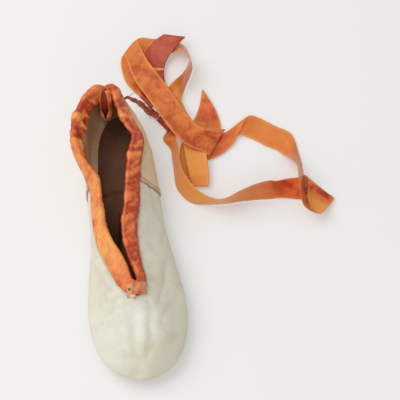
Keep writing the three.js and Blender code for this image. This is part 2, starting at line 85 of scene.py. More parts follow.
# The last from the heel to the toe: y, half width, lean and bulge, as in the part's source
OUTLINE_ROWS = [
    (0.5, 0, -0.035, 0.34), (0.482, 0.145, -0.035, 0.34), (0.443, 0.24, -0.025, 0.33),
    (0.377, 0.315, -0.012, 0.32), (0.297, 0.348, 0, 0.3), (0.217, 0.366, 0, 0.285),
    (0.135, 0.376, 0, 0.275), (0.05, 0.384, 0, 0.265), (-0.04, 0.406, 0, 0.25),
    (-0.135, 0.453, 0, 0.235), (-0.242, 0.496, 0, 0.22), (-0.343, 0.482, 0, 0.205),
    (-0.427, 0.384, 0, 0.195), (-0.481, 0.212, 0, 0.19), (-0.5, 0, 0, 0.19),
]
# The collar's edge for the same rows: x, y, z, how far in the crown lies, its height, and the band
COLLAR_RIGHT = [
    (-0.086, 0.471, 1, 0.3, 0.72, 1), (0.012, 0.466, 0.99, 0.3, 0.71, 1),
    (0.046, 0.412, 0.95, 0.32, 0.67, 1), (0.1, 0.35, 0.9, 0.3, 0.63, 1),
    (0.174, 0.3, 0.855, 0.26, 0.6, 1), (0.118, 0.236, 0.8, 0.32, 0.555, 1),
    (0.066, 0.162, 0.765, 0.38, 0.53, 1), (0.024, 0.075, 0.74, 0.4, 0.52, 1),
    (-0.034, -0.004, 0.72, 0.41, 0.51, 1), (-0.038, -0.066, 0.705, 0.41, 0.5, 1),
    (-0.012, -0.124, 0.695, 0.4, 0.48, 1), (0.032, -0.165, 0.686, 0.37, 0.45, 1),
    (0.045, -0.193, 0.68, 0.28, 0.43, 1), (0.036, -0.208, 0.676, 0.22, 0.42, 1),
    (0.01, -0.214, 0.674, 0.19, 0.415, 1),
]
COLLAR_LEFT = [
    COLLAR_RIGHT[0], (-0.19, 0.466, 1, 0.32, 0.71, 1), (-0.3, 0.44, 0.97, 0.4, 0.67, 1),
    (-0.41, 0.378, 0.93, 0.5, 0.63, 1), (-0.462, 0.305, 0.875, 0.6, 0.6, 1),
    (-0.42, 0.24, 0.825, 0.5, 0.58, 1), (-0.275, 0.166, 0.785, 0.1, 0.58, 1),
    (-0.262, 0.075, 0.765, 0.08, 0.565, 1), (-0.25, -0.004, 0.75, 0.15, 0.555, 1),
    (-0.198, -0.066, 0.735, 0.28, 0.53, 1.12), (-0.122, -0.116, 0.715, 0.36, 0.5, 1.3),
    (-0.072, -0.16, 0.695, 0.36, 0.455, 1.35), (-0.048, -0.19, 0.684, 0.28, 0.43, 1.2),
    (-0.026, -0.207, 0.678, 0.22, 0.42, 1), COLLAR_RIGHT[14],
]
HALF_ROWS = len(OUTLINE_ROWS) - 1
ROUND_ROWS = 2 * HALF_ROWS
RIGHT_SEAM = 6
LEFT_SEAM = ROUND_ROWS - RIGHT_SEAM


def spline(points, where, closed=False):
    """Centripetal curves through rows of points, (curves, points, 3), at places from 0 to 1."""
    points, where = np.asarray(points, float), np.asarray(where, float)
    curves, count = points.shape[:2]
    if closed:
        place = (where % 1) * count
        first = np.floor(place).astype(int)
        corners = [(first + step) % count for step in (-1, 0, 1, 2)]
    else:
        before = 2 * points[:, :1] - points[:, 1:2]
        after = 2 * points[:, -1:] - points[:, -2:-1]
        points = np.concatenate([before, points, after], axis=1)
        place = np.clip(where * (count - 1), 0, count - 1 - 1e-9)
        first = np.floor(place).astype(int)
        corners = [first + step for step in (0, 1, 2, 3)]
    curve = np.arange(curves)[:, None]
    a, b, c, d = (points[curve, corner] for corner in corners)
    share = (place - first)[..., None]

    def span(p, q):
        return np.maximum(np.linalg.norm(q - p, axis=-1, keepdims=True) ** 0.5, 1e-4)

    ab, bc, cd = span(a, b), span(b, c), span(c, d)
    leave = ((b - a) / ab - (c - a) / (ab + bc) + (c - b) / bc) * bc
    reach = ((c - b) / bc - (d - b) / (bc + cd) + (d - c) / cd) * bc
    return (b + leave * share + (3 * (c - b) - 2 * leave - reach) * share**2
            + (2 * (b - c) + leave + reach) * share**3)


def smooth(value, low, high):
    """0 below low, 1 above high and a soft step between."""
    share = np.clip((np.asarray(value, float) - low) / (high - low), 0, 1)
    return share * share * (3 - 2 * share)


def bell(value, width):
    """1 at zero, falling away smoothly on both sides over about the given width."""
    return np.exp(-(value / width) ** 2)


def distances(points):
    """How far along a path each of its points lies."""
    return np.concatenate([[0], np.cumsum(np.linalg.norm(np.diff(points, axis=0), axis=1))])


def read_off(table, places):
    """The values at some places from a table whose first column is the place, one list per column."""
    at, *columns = zip(*table)
    return [np.interp(places, at, column) for column in columns]


def lift(y):
    """The sole's underside: flat at heel and ball, up a little at the waist and the toe."""
    share = y / LENGTH
    rise = smooth(share, -0.1, 0.05) - smooth(share, 0.1, 0.24)
    return TOE_SPRING * smooth(-share, 0.34, 0.52) + ARCH_LIFT * rise


def ring(at):
    """Control points of a closed ring, right side first, from a function of row and side."""
    rows = [(k, False) if k <= HALF_ROWS else (ROUND_ROWS - k, True) for k in range(ROUND_ROWS)]
    return np.array([[at(i, left) for i, left in rows]])


def outline_point(i, left):
    y, half = OUTLINE_ROWS[i][:2]
    return np.array([BALL_WIDTH * (-half if left else half), LENGTH * y, 0])


def bulge_point(i, left):
    lean, bulge = OUTLINE_ROWS[i][2:]
    return outline_point(i, left) + [BALL_WIDTH * lean, 0, COLLAR_HEIGHT * bulge]


def collar_point(i, left):
    x, y, z = (COLLAR_LEFT if left else COLLAR_RIGHT)[i][:3]
    return np.array([BALL_WIDTH * x, LENGTH * y, COLLAR_HEIGHT * z])


def crown_point(i, left):
    crown_in, crown = (COLLAR_LEFT if left else COLLAR_RIGHT)[i][3:5]
    low, high = bulge_point(i, left), collar_point(i, left)
    point = low + (high - low) * crown_in
    return np.array([point[0], point[1], COLLAR_HEIGHT * crown])


OUTLINE, BULGE = ring(outline_point), ring(bulge_point)
CROWN, COLLAR = ring(crown_point), ring(collar_point)
BANDS = np.array([row[5] for row in COLLAR_RIGHT] + [row[5] for row in COLLAR_LEFT[-2:0:-1]] + [1.0])


def on_ring(points, rows):
    return spline(points, rows[None] / ROUND_ROWS, closed=True)[0]


def band(rows):
    """The binding's outer leg at each row, as a share of its usual depth."""
    return np.interp(rows % ROUND_ROWS, np.arange(ROUND_ROWS + 1), BANDS)


def inset(rows, inward, height):
    """The outline at each row, moved in and set at a height over the sole's lift."""
    point = on_ring(OUTLINE, rows)
    along = on_ring(OUTLINE, rows + 0.01) - on_ring(OUTLINE, rows - 0.01)
    along /= np.linalg.norm(along, axis=1, keepdims=True)
    x = point[:, 0] + along[:, 1] * inward
    y = point[:, 1] - along[:, 0] * inward
    return np.stack([x, y, lift(y) + height], axis=1)


def section_controls(rows):
    return np.stack([
        inset(rows, SOLE_INSET + MARGIN_WIDTH, UPPER_BASE),
        inset(rows, SOLE_INSET - 1, UPPER_BASE),
        inset(rows, TURN_INSET, TURN_HEIGHT),
        on_ring(BULGE, rows), on_ring(CROWN, rows), on_ring(COLLAR, rows)], axis=1)


def depth_places(rows, depths):
    """Places on each section that lie so many millimetres below the collar's edge."""
    even = np.linspace(0, 1, SECTION_SAMPLES)
    lines = spline(section_controls(rows), np.broadcast_to(even, (len(rows), len(even))))
    runs = [distances(line) for line in lines]
    return np.array([np.interp(run[-1] - depth, run, even) for run, depth in zip(runs, depths)])


def wall(rows, places):
    """Points of the upper's outer face and its normals, (rows, places, 3) each."""
    nudge, slip = 0.02, 0.002
    point = spline(section_controls(rows), places)
    around = (spline(section_controls(rows + nudge), places)
              - spline(section_controls(rows - nudge), places))
    up = (spline(section_controls(rows), np.minimum(places + slip, 1))
          - spline(section_controls(rows), np.maximum(places - slip, 0)))
    normal = np.cross(up, around)
    normal /= np.linalg.norm(normal, axis=2, keepdims=True)
    return point, normal, up / np.linalg.norm(up, axis=2, keepdims=True)


def waves(points, size, seed):
    """Smooth noise from -1 to 1 at each point, with lumps of about the given size."""
    flat = points.reshape(-1, points.shape[-1]) / size + seed
    if flat.shape[1] == 2:
        flat = np.column_stack([flat, np.full(len(flat), seed)])
    values = [noise.noise(Vector(p)) for p in flat]
    return np.array(values).reshape(points.shape[:-1])


def grid_piece(name, points, materials, uv_size, marks=None, join=False, flip=False):
    """A smooth mesh over a grid of points: columns are the first index and rows the second.
    uv_size is the cloth's size along both, in metres; marks are named numbers for each point."""
    columns, rows = points.shape[:2]
    bm = bmesh.new()
    uv = bm.loops.layers.uv.new("UVMap")
    layers = {key: bm.verts.layers.float.new(key) for key in marks or {}}
    bmesh.ops.create_grid(bm, x_segments=columns - 1, y_segments=rows - 1, size=0.5, calc_uvs=True)
    for vert in bm.verts:
        i = round((vert.co.x + 0.5) * (columns - 1))
        j = round((vert.co.y + 0.5) * (rows - 1))
        vert.co = Vector(points[i, j]) * MM
        for key, layer in layers.items():
            vert[layer] = marks[key][i, j]
    for face in bm.faces:
        for loop in face.loops:
            loop[uv].uv = (loop[uv].uv[0] * uv_size[0], loop[uv].uv[1] * uv_size[1])
    if join:
        bmesh.ops.remove_doubles(bm, verts=bm.verts, dist=MERGE_DISTANCE)
        bmesh.ops.dissolve_degenerate(bm, edges=bm.edges, dist=SHORTEST_EDGE)
    if flip:
        bmesh.ops.reverse_faces(bm, faces=bm.faces)
    return finish_piece(name, bm, materials)


def add_object(name, data):
    thing = bpy.data.objects.new(name, data)
    bpy.context.scene.collection.objects.link(thing)
    return thing


def finish_piece(name, bm, materials):
    mesh = bpy.data.meshes.new(name)
    bm.to_mesh(mesh)
    bm.free()
    for made in materials:
        mesh.materials.append(made)
    for polygon in mesh.polygons:
        polygon.use_smooth = True
    piece = add_object(name, mesh)
    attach(piece, "root")
    return piece


def thicken(piece, thickness, offset=-1, inner_material=0):
    solid = piece.modifiers.new("thickness", "SOLIDIFY")
    solid.thickness = thickness * MM
    solid.offset = offset
    solid.use_even_offset = False
    solid.material_offset = inner_material


def round_edges(piece, width, segments):
    bevel = piece.modifiers.new("rounded_edge", "BEVEL")
    bevel.width = width * MM
    bevel.segments = segments
    bevel.limit_method = "ANGLE"


# Materials
def shader(name, roughness, **sockets):
    """A new node material, its tree and a socket that gives the place on the object."""
    made = bpy.data.materials.new(name)
    made.use_nodes = True
    tree = made.node_tree
    principled = tree.nodes["Principled BSDF"]
    principled.inputs["Roughness"].default_value = roughness
    for key, value in sockets.items():
        principled.inputs[key].default_value = value
    return made, tree, tree.nodes.new("ShaderNodeTexCoord").outputs["Object"]


def node(tree, kind, inputs=None, **settings):
    made = tree.nodes.new(kind)
    for key, value in settings.items():
        setattr(made, key, value)
    for key, value in (inputs or {}).items():
        if isinstance(value, bpy.types.NodeSocket):
            tree.links.new(value, made.inputs[key])
        else:
            made.inputs[key].default_value = value
    return made


def noise_at(tree, vector, scale, detail=4, rough=0.55, distortion=0.0):
    return node(tree, "ShaderNodeTexNoise", {
        "Vector": vector, "Scale": scale, "Detail": detail, "Roughness": rough,
        "Distortion": distortion}).outputs["Fac"]


def ramp(tree, value, low, high):
    """The value from low to high stretched to 0 to 1."""
    stretched = node(tree, "ShaderNodeMapRange", {"Value": value, "From Min": low, "From Max": high})
    return stretched.outputs[0]


def clamped(tree, value):
    return node(tree, "ShaderNodeClamp", {"Value": value}).outputs[0]


def math_at(tree, operation, a, b):
    return node(tree, "ShaderNodeMath", {0: a, 1: b}, operation=operation).outputs[0]


def times(tree, a, b):
    return math_at(tree, "MULTIPLY", a, b)


def blend_colour(tree, share, base, other):
    made = node(tree, "ShaderNodeMix", {"Factor": share}, data_type="RGBA")
    for socket, colour in ((made.inputs[6], base), (made.inputs[7], other)):
        if isinstance(colour, bpy.types.NodeSocket):
            tree.links.new(colour, socket)
        else:
            socket.default_value = (*colour, 1)
    return made.outputs[2]


def paint(tree, colour):
    tree.links.new(colour, tree.nodes["Principled BSDF"].inputs["Base Color"])


def bump(tree, height, distance, strength):
    normal = tree.nodes["Principled BSDF"].inputs["Normal"]
    made = node(tree, "ShaderNodeBump", {
        "Height": height, "Distance": distance * MM, "Strength": strength})
    if normal.links:
        tree.links.new(normal.links[0].from_socket, made.inputs["Normal"])
    tree.links.new(made.outputs["Normal"], normal)


def attribute(tree, name):
    return node(tree, "ShaderNodeAttribute", attribute_name=name).outputs["Fac"]


VAMP_WHITE = (0.69, 0.665, 0.55)
QUARTER_CREAM = (0.77, 0.56, 0.345)
# The white of the painted highlight on the vamp's rubbed top
RUBBED_HIGHLIGHT_WHITE = (0.78, 0.78, 0.71)
AGED_YELLOW = (0.60, 0.55, 0.40)
GRIME_AND_SHADE = (0.34, 0.28, 0.21)
DYE_ORANGE = (0.62, 0.34, 0.19)
LAP_PINK = (0.66, 0.46, 0.33)
SEAM_BROWN = (0.27, 0.13, 0.07)
LINING_TAUPE = (0.88, 0.54, 0.30)
LINING_WORN = (0.94, 0.70, 0.45)
LINING_SHADE = (0.14, 0.07, 0.04)
COTTON_CREAM = (0.62, 0.52, 0.38)
COTTON_PALE = (0.80, 0.72, 0.58)
SATIN_SHEEN = (1, 0.72, 0.5, 1)


def leather():
    made, tree, place = shader("aged_white_leather", 0.55, **{"Specular IOR Level": 0.35})
    clouds = ramp(tree, noise_at(tree, place, 28, 3), 0.42, 0.72)
    smudge = ramp(tree, noise_at(tree, place, 95, 6, 0.65), 0.56, 0.78)
    patch = ramp(tree, noise_at(tree, place, 140, 5), 0.35, 0.65)
    bled = ramp(tree, noise_at(tree, place, 170, 4), 0.3, 0.6)
    colour = blend_colour(tree, attribute(tree, "quarter"), VAMP_WHITE, QUARTER_CREAM)
    for share, tint in (
            (times(tree, clouds, 0.5), AGED_YELLOW), (times(tree, smudge, 0.28), GRIME_AND_SHADE),
            (times(tree, attribute(tree, "soiled_and_shaded"), patch), GRIME_AND_SHADE),
            (times(tree, attribute(tree, "dye"), bled), DYE_ORANGE),
            (attribute(tree, "rubbed_highlight"), RUBBED_HIGHLIGHT_WHITE), (attribute(tree, "aged"), AGED_YELLOW),
            (attribute(tree, "lap"), LAP_PINK), (attribute(tree, "line"), SEAM_BROWN)):
        colour = blend_colour(tree, share, colour, tint)
    paint(tree, colour)
    pores = node(tree, "ShaderNodeTexVoronoi", {"Vector": place, "Scale": 1300}).outputs["Distance"]
    bump(tree, pores, 0.06, 0.5)
    bump(tree, noise_at(tree, place, 420, 5, 0.6), 0.12, 0.5)
    return made


def lining():
    made, tree, place = shader("taupe_lining", 0.85)
    worn = ramp(tree, noise_at(tree, place, 45, 5), 0.35, 0.7)
    colour = blend_colour(tree, worn, LINING_TAUPE, LINING_WORN)
    # Painted shade on the lining round the heel, where the upper marks it
    colour = blend_colour(tree, attribute(tree, "heel_lining_shade"), colour, LINING_SHADE)
    paint(tree, colour)
    bump(tree, noise_at(tree, place, 900, 3), 0.1, 0.5)
    return made


def suede(name, colour, worn_colour, scale):
    made, tree, place = shader(name, 0.9, **{"Specular IOR Level": 0.2})
    worn = ramp(tree, noise_at(tree, place, scale, 6, 0.6), 0.4, 0.75)
    mixed = blend_colour(tree, worn, colour, worn_colour)
    mixed = blend_colour(tree, attribute(tree, "worn"), mixed, worn_colour)
    mixed = blend_colour(tree, attribute(tree, "line"), mixed, [0.25 * part for part in colour])
    paint(tree, mixed)
    bump(tree, noise_at(tree, place, 1500, 4, 0.7), 0.15, 0.6)
    return made


SATIN_ORANGE = (0.75, 0.155, 0.048)
SATIN_GOLD = (0.80, 0.34, 0.085)
SATIN_RED = (0.42, 0.042, 0.016)
THREADS_LONG = (14, 1, 1)  # the weave's pattern, much finer across than along


def satin(name, base, light, dark, mottle_size, gloss=0.34, wrinkled=(330, 70, 1.1)):
    """Satin: fine threads along the cloth. The piece's own marks say where it is golden, stained or
    painted with shade, or stands up in a fold; raised folds are painted golden as a highlight and hollows
    redder as shade. wrinkled is how many wrinkles lie across and along, and their height."""
    made, tree, place = shader(name, gloss, **{
        "Specular IOR Level": 0.6, "Specular Tint": SATIN_SHEEN, "Anisotropic": 0.4})
    ridge = attribute(tree, "ridge")
    drift = ramp(tree, noise_at(tree, place, 55, 3), 0.36, 0.66)
    # Raised folds are painted golden: a painted highlight
    gold = math_at(tree, "ADD", attribute(tree, "gold"), times(tree, ridge, 0.36))
    gold = math_at(tree, "ADD", gold, times(tree, drift, 0.22))
    colour = blend_colour(tree, clamped(tree, gold), base, light)
    mottle = noise_at(tree, place, 1 / mottle_size, 5, 0.6, 0.5)
    # Hollows are stained redder: painted shade
    mottle = math_at(tree, "SUBTRACT", mottle, times(tree, ridge, 0.1))
    mottle = ramp(tree, mottle, 0.42, 0.62)
    stain_and_shade = attribute(tree, "stain_and_shade")
    soaked_and_shaded = clamped(tree, math_at(tree, "SUBTRACT", stain_and_shade, 1))
    share = math_at(tree, "ADD", times(tree, mottle, stain_and_shade), soaked_and_shaded)
    colour = blend_colour(tree, clamped(tree, share), colour, dark)
    paint(tree, colour)
    cloth = node(tree, "ShaderNodeTexCoord").outputs["UV"]
    weave = node(tree, "ShaderNodeMapping", {"Vector": cloth, "Scale": THREADS_LONG}).outputs["Vector"]
    bump(tree, noise_at(tree, weave, 260, 3, 0.6), 0.12, 0.35)
    across, along, height = wrinkled
    uneven = node(tree, "ShaderNodeMapping", {"Vector": cloth, "Scale": (across, along, 1)})
    bump(tree, noise_at(tree, uneven.outputs["Vector"], 1, 4, 0.55, 0.6), height, 0.8)
    return made


def cotton():
    made, tree, place = shader("cotton_cord", 0.9)
    fibre = noise_at(tree, place, 1500, 3)
    paint(tree, blend_colour(tree, fibre, COTTON_CREAM, COTTON_PALE))
    bump(tree, fibre, 0.15, 0.6)
    return made


WHITE_LEATHER = leather()
TAUPE_LINING = lining()
SOLE_SUEDE = suede("sole_suede", (0.46, 0.38, 0.29), (0.62, 0.54, 0.42), 60)
DARK_INSOLE = suede("dark_insole", (0.115, 0.053, 0.031), (0.22, 0.112, 0.065), 35)
BINDING_SATIN = satin("binding_satin", SATIN_ORANGE, SATIN_GOLD, SATIN_RED, 0.0095)
RIBBON_SATIN = satin("ribbon_satin", (0.66, 0.118, 0.03), (0.76, 0.29, 0.062), (0.37, 0.03, 0.014),
                     0.011, 0.28, (45, 90, 1.0))
COTTON = cotton()
TAB_SATIN = satin("tab_satin", (0.62, 0.20, 0.085), (0.60, 0.33, 0.15), (0.42, 0.07, 0.03), 0.005)
NECK_SATIN = satin("neck_satin", (0.50, 0.10, 0.04), (0.74, 0.27, 0.09), (0.20, 0.02, 0.014), 0.006)
# A darker, duller copy of the binding's satin for the heel gather's inner face: painted shade inside the
# fold
SHADED_INNER_SATIN = satin("inner_fold_shaded_satin", (0.42, 0.06, 0.028), (0.55, 0.12, 0.04), (0.20, 0.015, 0.01),
                    0.008, 0.5)
STITCH_THREAD = suede("stitch_thread", (0.52, 0.42, 0.30), (0.70, 0.60, 0.46), 200)
EYELET_THREAD = suede("eyelet_thread", (0.30, 0.16, 0.07), (0.42, 0.24, 0.10), 200)
GREY_THREAD = suede("grey_thread", (0.33, 0.28, 0.25), (0.45, 0.38, 0.34), 200)


# Where the sections are taken: closer together at the side seams
def stations(per_row):
    even = np.arange(ROUND_ROWS * per_row + 1) / per_row
    near = [-0.17, -0.145, -0.12, -0.08, -0.04, -0.015, 0, 0.015, 0.04, 0.08, 0.12, 0.145, 0.17]
    close = [seam + step for seam in (RIGHT_SEAM, LEFT_SEAM) for step in near]
    far = [row for row in even if min(abs(row - RIGHT_SEAM), abs(row - LEFT_SEAM)) > 0.18]
    return np.array(sorted(far + close))


def past_heel(rows):
    """How many rows each place lies past the heel's middle, below zero on the left."""
    return (rows + HALF_ROWS) % ROUND_ROWS - HALF_ROWS


def behind_seam(rows):
    """How many rows each place is behind its side seam, towards the heel; below zero in front."""
    return np.where(rows <= HALF_ROWS, RIGHT_SEAM - rows, rows - LEFT_SEAM)


def seam_rise(rows):
    """The quarter's front edge laps over the vamp and stands up a little."""
    back = behind_seam(rows)
    return SEAM_STEP * smooth(back, -0.01, 0.02) * (1 - smooth(back, 0.15, 0.75))


# Creases of the vamp and the quarters: x, y points, how wide and how deep
CREASES = [
    ([(-4, -66), (-3, -84), (-5, -104), (-5, -122)], 7, 1.9),
    ([(-15, -61), (-20, -76), (-17, -94), (-10, -108)], 4.5, 1.1),
    ([(5, -64), (11, -78), (10, -94), (4, -108)], 4.5, 1.2),
    ([(-29, -36), (-26, -56), (-22, -70)], 3.2, 0.8),
    ([(27, -30), (22, -52), (15, -68)], 3.4, 0.9),
    ([(22, 34), (27, 8), (27, -14)], 3, 0.8),
    ([(26, 20), (31, 6), (33, -10)], 2.5, 0.6),
    ([(-24, 24), (-28, 2), (-30, -18)], 3, 0.8),
    ([(33, -60), (26, -72), (19, -80)], 3, 0.7),
    ([(-34, -66), (-27, -78), (-20, -86)], 3, 0.7),
    ([(30, -92), (20, -99), (10, -101)], 4, 0.8),
    ([(-30, -95), (-22, -103), (-13, -106)], 4, 0.8),
    ([(20, 100), (25, 88), (27, 72)], 3, 0.8),
    ([(-26, 92), (-31, 76), (-33, 60)], 3, 0.8),
]


def crease_depth(points):
    """How far the creases press each point in, seen from above."""
    deep = np.zeros(points.shape[:-1])
    wander = np.stack([waves(points, 17, 21.0), waves(points, 17, 33.0)], axis=-1) * 4
    points = points[..., :2] + wander
    for line, width, depth in CREASES:
        line = np.array(line, float)
        nearest = np.full(points.shape[:-1], 1e9)
        for a, b in zip(line[:-1], line[1:]):
            run = b - a
            share = np.clip(((points - a) @ run) / (run @ run), 0, 1)
            gap = np.linalg.norm(points - a - share[..., None] * run, axis=-1)
            nearest = np.minimum(nearest, gap)
        deep += depth * np.exp(-(nearest / width) ** 2 * 2)
    return deep


# The upper: the outer face of the wall with its creases, pleats and seams, then its thickness
def make_upper():
    rows = stations(14)
    share = np.broadcast_to(np.linspace(0, 1, WALL_COLUMNS) ** 0.9, (len(rows), WALL_COLUMNS))
    point, normal, _ = wall(rows, share)
    # Its shape: soft waves and creases, pleats where it turns under, and a raised lap at the seams
    body = smooth(share, 0.3, 0.45) * (1 - smooth(share, 0.9, 0.98))
    soft = waves(point, 26, 3.1) * 0.55 + waves(point, 11, 7.7) * 0.22 + waves(point, 5, 1.9) * 0.06
    above_sole = smooth(point[..., 2], 10.8, 14.5)
    pull = np.abs(np.sin(rows * 9.4 + 0.8 * np.sin(rows * 2.3)))[:, None]
    turned = (1 - smooth(share, 0.18, 0.42)) * smooth(share, 0.1, 0.16)
    pleats = -PLEAT_DEPTH * (1 - pull) * turned
    raised = seam_rise(rows)[:, None] * smooth(share, 0.3, 0.6)
    out = soft * body - crease_depth(point) * body * above_sole + pleats + raised
    shaped = point + normal * out[..., None]
    shaped[..., 2] = np.maximum(shaped[..., 2], UPPER_BASE - 0.05)
    # Its colours: the cream quarters, dirt, painted shade low on the wall, the seam's lap and lines, dye
    # that bled from the satin, a painted highlight on the vamp and painted shade on the lining at the heel
    back = behind_seam(rows)
    shown = smooth(share, 0.25, 0.4)
    quarter = np.broadcast_to(smooth(back, -0.02, 0.0)[:, None], share.shape)
    seam_dirt = bell(back + 0.012, 0.03)[:, None] * shown
    # Painted shade with a beige tint low on the wall near the floor, and darker higher up towards the
    # collar
    low_shade_and_tint = (1 - smooth(shaped[..., 2], 5, 13)) * 0.5 + smooth(share, 0.72, 0.86) * 0.25
    lap = smooth(back, 0, 0.03) * (1 - smooth(back, 0.13, 0.15))
    line = bell(back, 0.022) + 0.7 * bell(back - 0.145, 0.018)
    depth = np.linalg.norm(point - point[:, -1:], axis=-1)
    dye = bell(np.maximum(depth - BINDING_OUTER_LEG, 0), 5) * (0.25 + 0.5 * quarter)
    # Painted shade: the lining darkened round the heel and along its right side
    from_heel = past_heel(rows)
    heel_shade = HEEL_SHADE_DEPTH * smooth(from_heel, -1.8, -0.5) * (1 - smooth(from_heel, 3.5, 6))
    x, y = point[..., 0], point[..., 1]
    # A painted highlight on the rubbed, shiny top of the vamp, and a fainter one to its left
    rubbed_highlight = 0.6 * bell(x - 1, 15) * bell(y + 82, 20) + 0.3 * bell(x + 17, 13) * bell(y + 96, 14)
    aged = 0.5 * bell(x - 2, 12) * bell(y + 103, 8) * (1 + waves(point, 6, 4.0))
    marks = {"rubbed_highlight": np.clip(rubbed_highlight, 0, 1), "aged": aged, "quarter": quarter, "dye": dye,
             "soiled_and_shaded": np.clip(np.maximum(seam_dirt, low_shade_and_tint), 0, 1), "lap": lap[:, None] * shown,
             "line": np.clip(line, 0, 1)[:, None] * shown, "heel_lining_shade": heel_shade[:, None] + 0 * share}
    upper = grid_piece("leather_upper", shaped, [WHITE_LEATHER, TAUPE_LINING], (0.6, 0.09), marks,
                       join=True, flip=True)
    thicken(upper, WALL, inner_material=1)
    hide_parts("upper")


# Stitches: one small thread each, laid on the wall along a line of rows and depths
def lay_stitches(name, spots, length, width, colour):
    bm = bmesh.new()
    for centre, along, out in spots:
        side = out.cross(along)
        for vert in bmesh.ops.create_uvsphere(bm, u_segments=6, v_segments=4, radius=0.5)["verts"]:
            x, y, z = vert.co.z * length, vert.co.x * width, vert.co.y * width * 0.7
            vert.co = (centre + along * x + side * y + out * z) * MM
    return finish_piece(name, bm, [colour])


def wall_line(rows, depths, rise):
    """The points of a line on the wall, raised off it a little, and the wall's normals there."""
    point, normal, _ = wall(rows, depth_places(rows, depths[:, None]))
    centre = (point + normal * (rise + seam_rise(rows))[:, None, None])[:, 0]
    return centre, normal[:, 0]


def stitch_spots(centre, normal, pitch):
    """The middle, the direction and the normal of each stitch along a line."""
    run = distances(centre)

    def at(values, s):
        return np.array([np.interp(s, run, values[:, k]) for k in range(3)])

    spots = []
    for s in np.arange(pitch / 2, run[-1], pitch):
        a, b = at(centre, s - 0.4), at(centre, s + 0.4)
        along, out = Vector(b - a).normalized(), Vector(at(normal, s)).normalized()
        spots.append((Vector((a + b) / 2), along, out))
    return spots


def make_collar_stitches():
    rows = np.linspace(0, ROUND_ROWS, 900)
    rows = rows[(rows < 12.6) | (rows > 15.4)]
    spots = []
    for part in (rows[rows < 14], rows[rows > 14]):
        depths = BINDING_OUTER_LEG * band(part) + 1.4
        spots += stitch_spots(*wall_line(part, depths, 0.05), 2.3)
    piece = lay_stitches("collar_stitches", spots, 1.7, 0.5, STITCH_THREAD)


def make_seam_stitches():
    spots = []
    for seam, way in ((RIGHT_SEAM, -1), (LEFT_SEAM, 1)):
        for back in (0.05, 0.17):
            rows = np.full(60, seam + way * back)
            depths = np.linspace(BINDING_OUTER_LEG + 1, 44, 60)
            spots += stitch_spots(*wall_line(rows, depths, 0.1), 1.9)
    piece = lay_stitches("seam_stitches", spots, 1.4, 0.45, STITCH_THREAD)


# The insole and the outsole: plates of the outline's shape
def plate_grid(inward, height):
    round_ends = 0.5 - 0.5 * np.cos(np.pi * np.linspace(0, 1, PLATE_ROWS))
    along = 0.1 + (HALF_ROWS - 0.2) * round_ends
    right = inset(along, inward, height)
    left = inset(ROUND_ROWS - along, inward, height)
    share = np.linspace(0, 1, PLATE_COLUMNS)[:, None, None]
    return left * (1 - share) + right * share


def make_insole():
    top = plate_grid(INSOLE_INSET, UPPER_BASE + WALL + GAP + INSOLE_THICKNESS)
    x, y = top[..., 0], top[..., 1]
    cross_seam = bell(y - 43 - 0.05 * x + 0.6 * np.sin(x / 5), 1.1)
    long_seam = bell(x + 7.5 - 0.04 * y - 1.2 * np.sin(y / 14), 1.1) * smooth(-y, -32, -10)
    top[..., 2] += 0.3 * waves(top, 22, 5.5) - 0.9 * cross_seam - 0.7 * long_seam - 0.35
    line = np.clip(cross_seam + long_seam, 0, 1)
    worn = 0.8 * np.exp(-((x + 2) ** 2 / 300 + (y - 66) ** 2 / 700)) * (0.7 + 0.3 * waves(top, 9, 2.0))
    marks = {"line": line, "worn": np.clip(worn, 0, 1)}
    insole = grid_piece("dark_insole", top, [DARK_INSOLE], PLATE_CLOTH, marks, join=True, flip=True)
    thicken(insole, INSOLE_THICKNESS * 0.7)
    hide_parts("insole")


def make_outsole():
    top = plate_grid(SOLE_INSET, SOLE_THICKNESS)
    outsole = grid_piece("suede_outsole", top, [SOLE_SUEDE], PLATE_CLOTH, join=True, flip=True)
    thicken(outsole, SOLE_THICKNESS)
    round_edges(outsole, 0.6, 3)
    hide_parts("outsole")


# The binding: a satin strip folded over the collar's edge, gathered by its drawstring. Its tables give
# a row of the collar and a share: how stained and how golden it is
BINDING_STAINS = [
    (0, 0.8), (1, 0.8), (2, 1), (4, 1), (6, 1), (8, 0.9), (10, 1), (12, 0.9), (13, 0.8), (14, 0.8),
    (15, 0.7), (16, 0.55), (17.5, 0.3), (19, 0.1), (20, 0.4), (22, 0.4), (23.5, 0.9), (25, 1),
    (25.7, 1.4), (26.4, 0.8), (27, 0.4), (28, 0.8),
]
BINDING_GOLD = [
    (0, 0.1), (2, 0.1), (6, 0.15), (10, 0.1), (13, 0.1), (14, 0), (15, 0), (16, 0.1), (17.5, 0.45),
    (19, 0.95), (20, 0.55), (22, 0.6), (23.5, 0.1), (26, 0), (27, 0.3), (28, 0.1),
]
# Where the satin is puffed up, and the smooth stretch at the left of the throat
PUFFED = [(0, 0.8), (1.5, 0.5), (3.5, 0.1), (22.5, 0), (23.6, 0.6), (24.6, 1.1), (26.5, 1.2), (28, 0.8)]
CALM = [(14.6, 0), (15.6, 1), (19, 1), (20, 0)]

# Where gathers pinch the satin into a ring round a pit: row, depth below the edge with the inner
# leg below zero, half length in rows, half width and height in millimetres
PINCHES = [
    (19.1, 6.5, 0.45, 3.4, 1.3), (24.95, -5, 0.3, 5, 1.5), (24.1, -3, 0.26, 4, 0.8),
    (2.75, 3.5, 0.3, 3, 0.9), (4.6, 5, 0.3, 3.5, 0.6),
]
# The soft lobes on both sides of the heel's gather, and the valley between: row, half length, height
HEEL_LOBES = [(-0.85, 0.5, 1.2), (1.0, 0.42, 1.0), (0.1, 0.2, -1.2)]


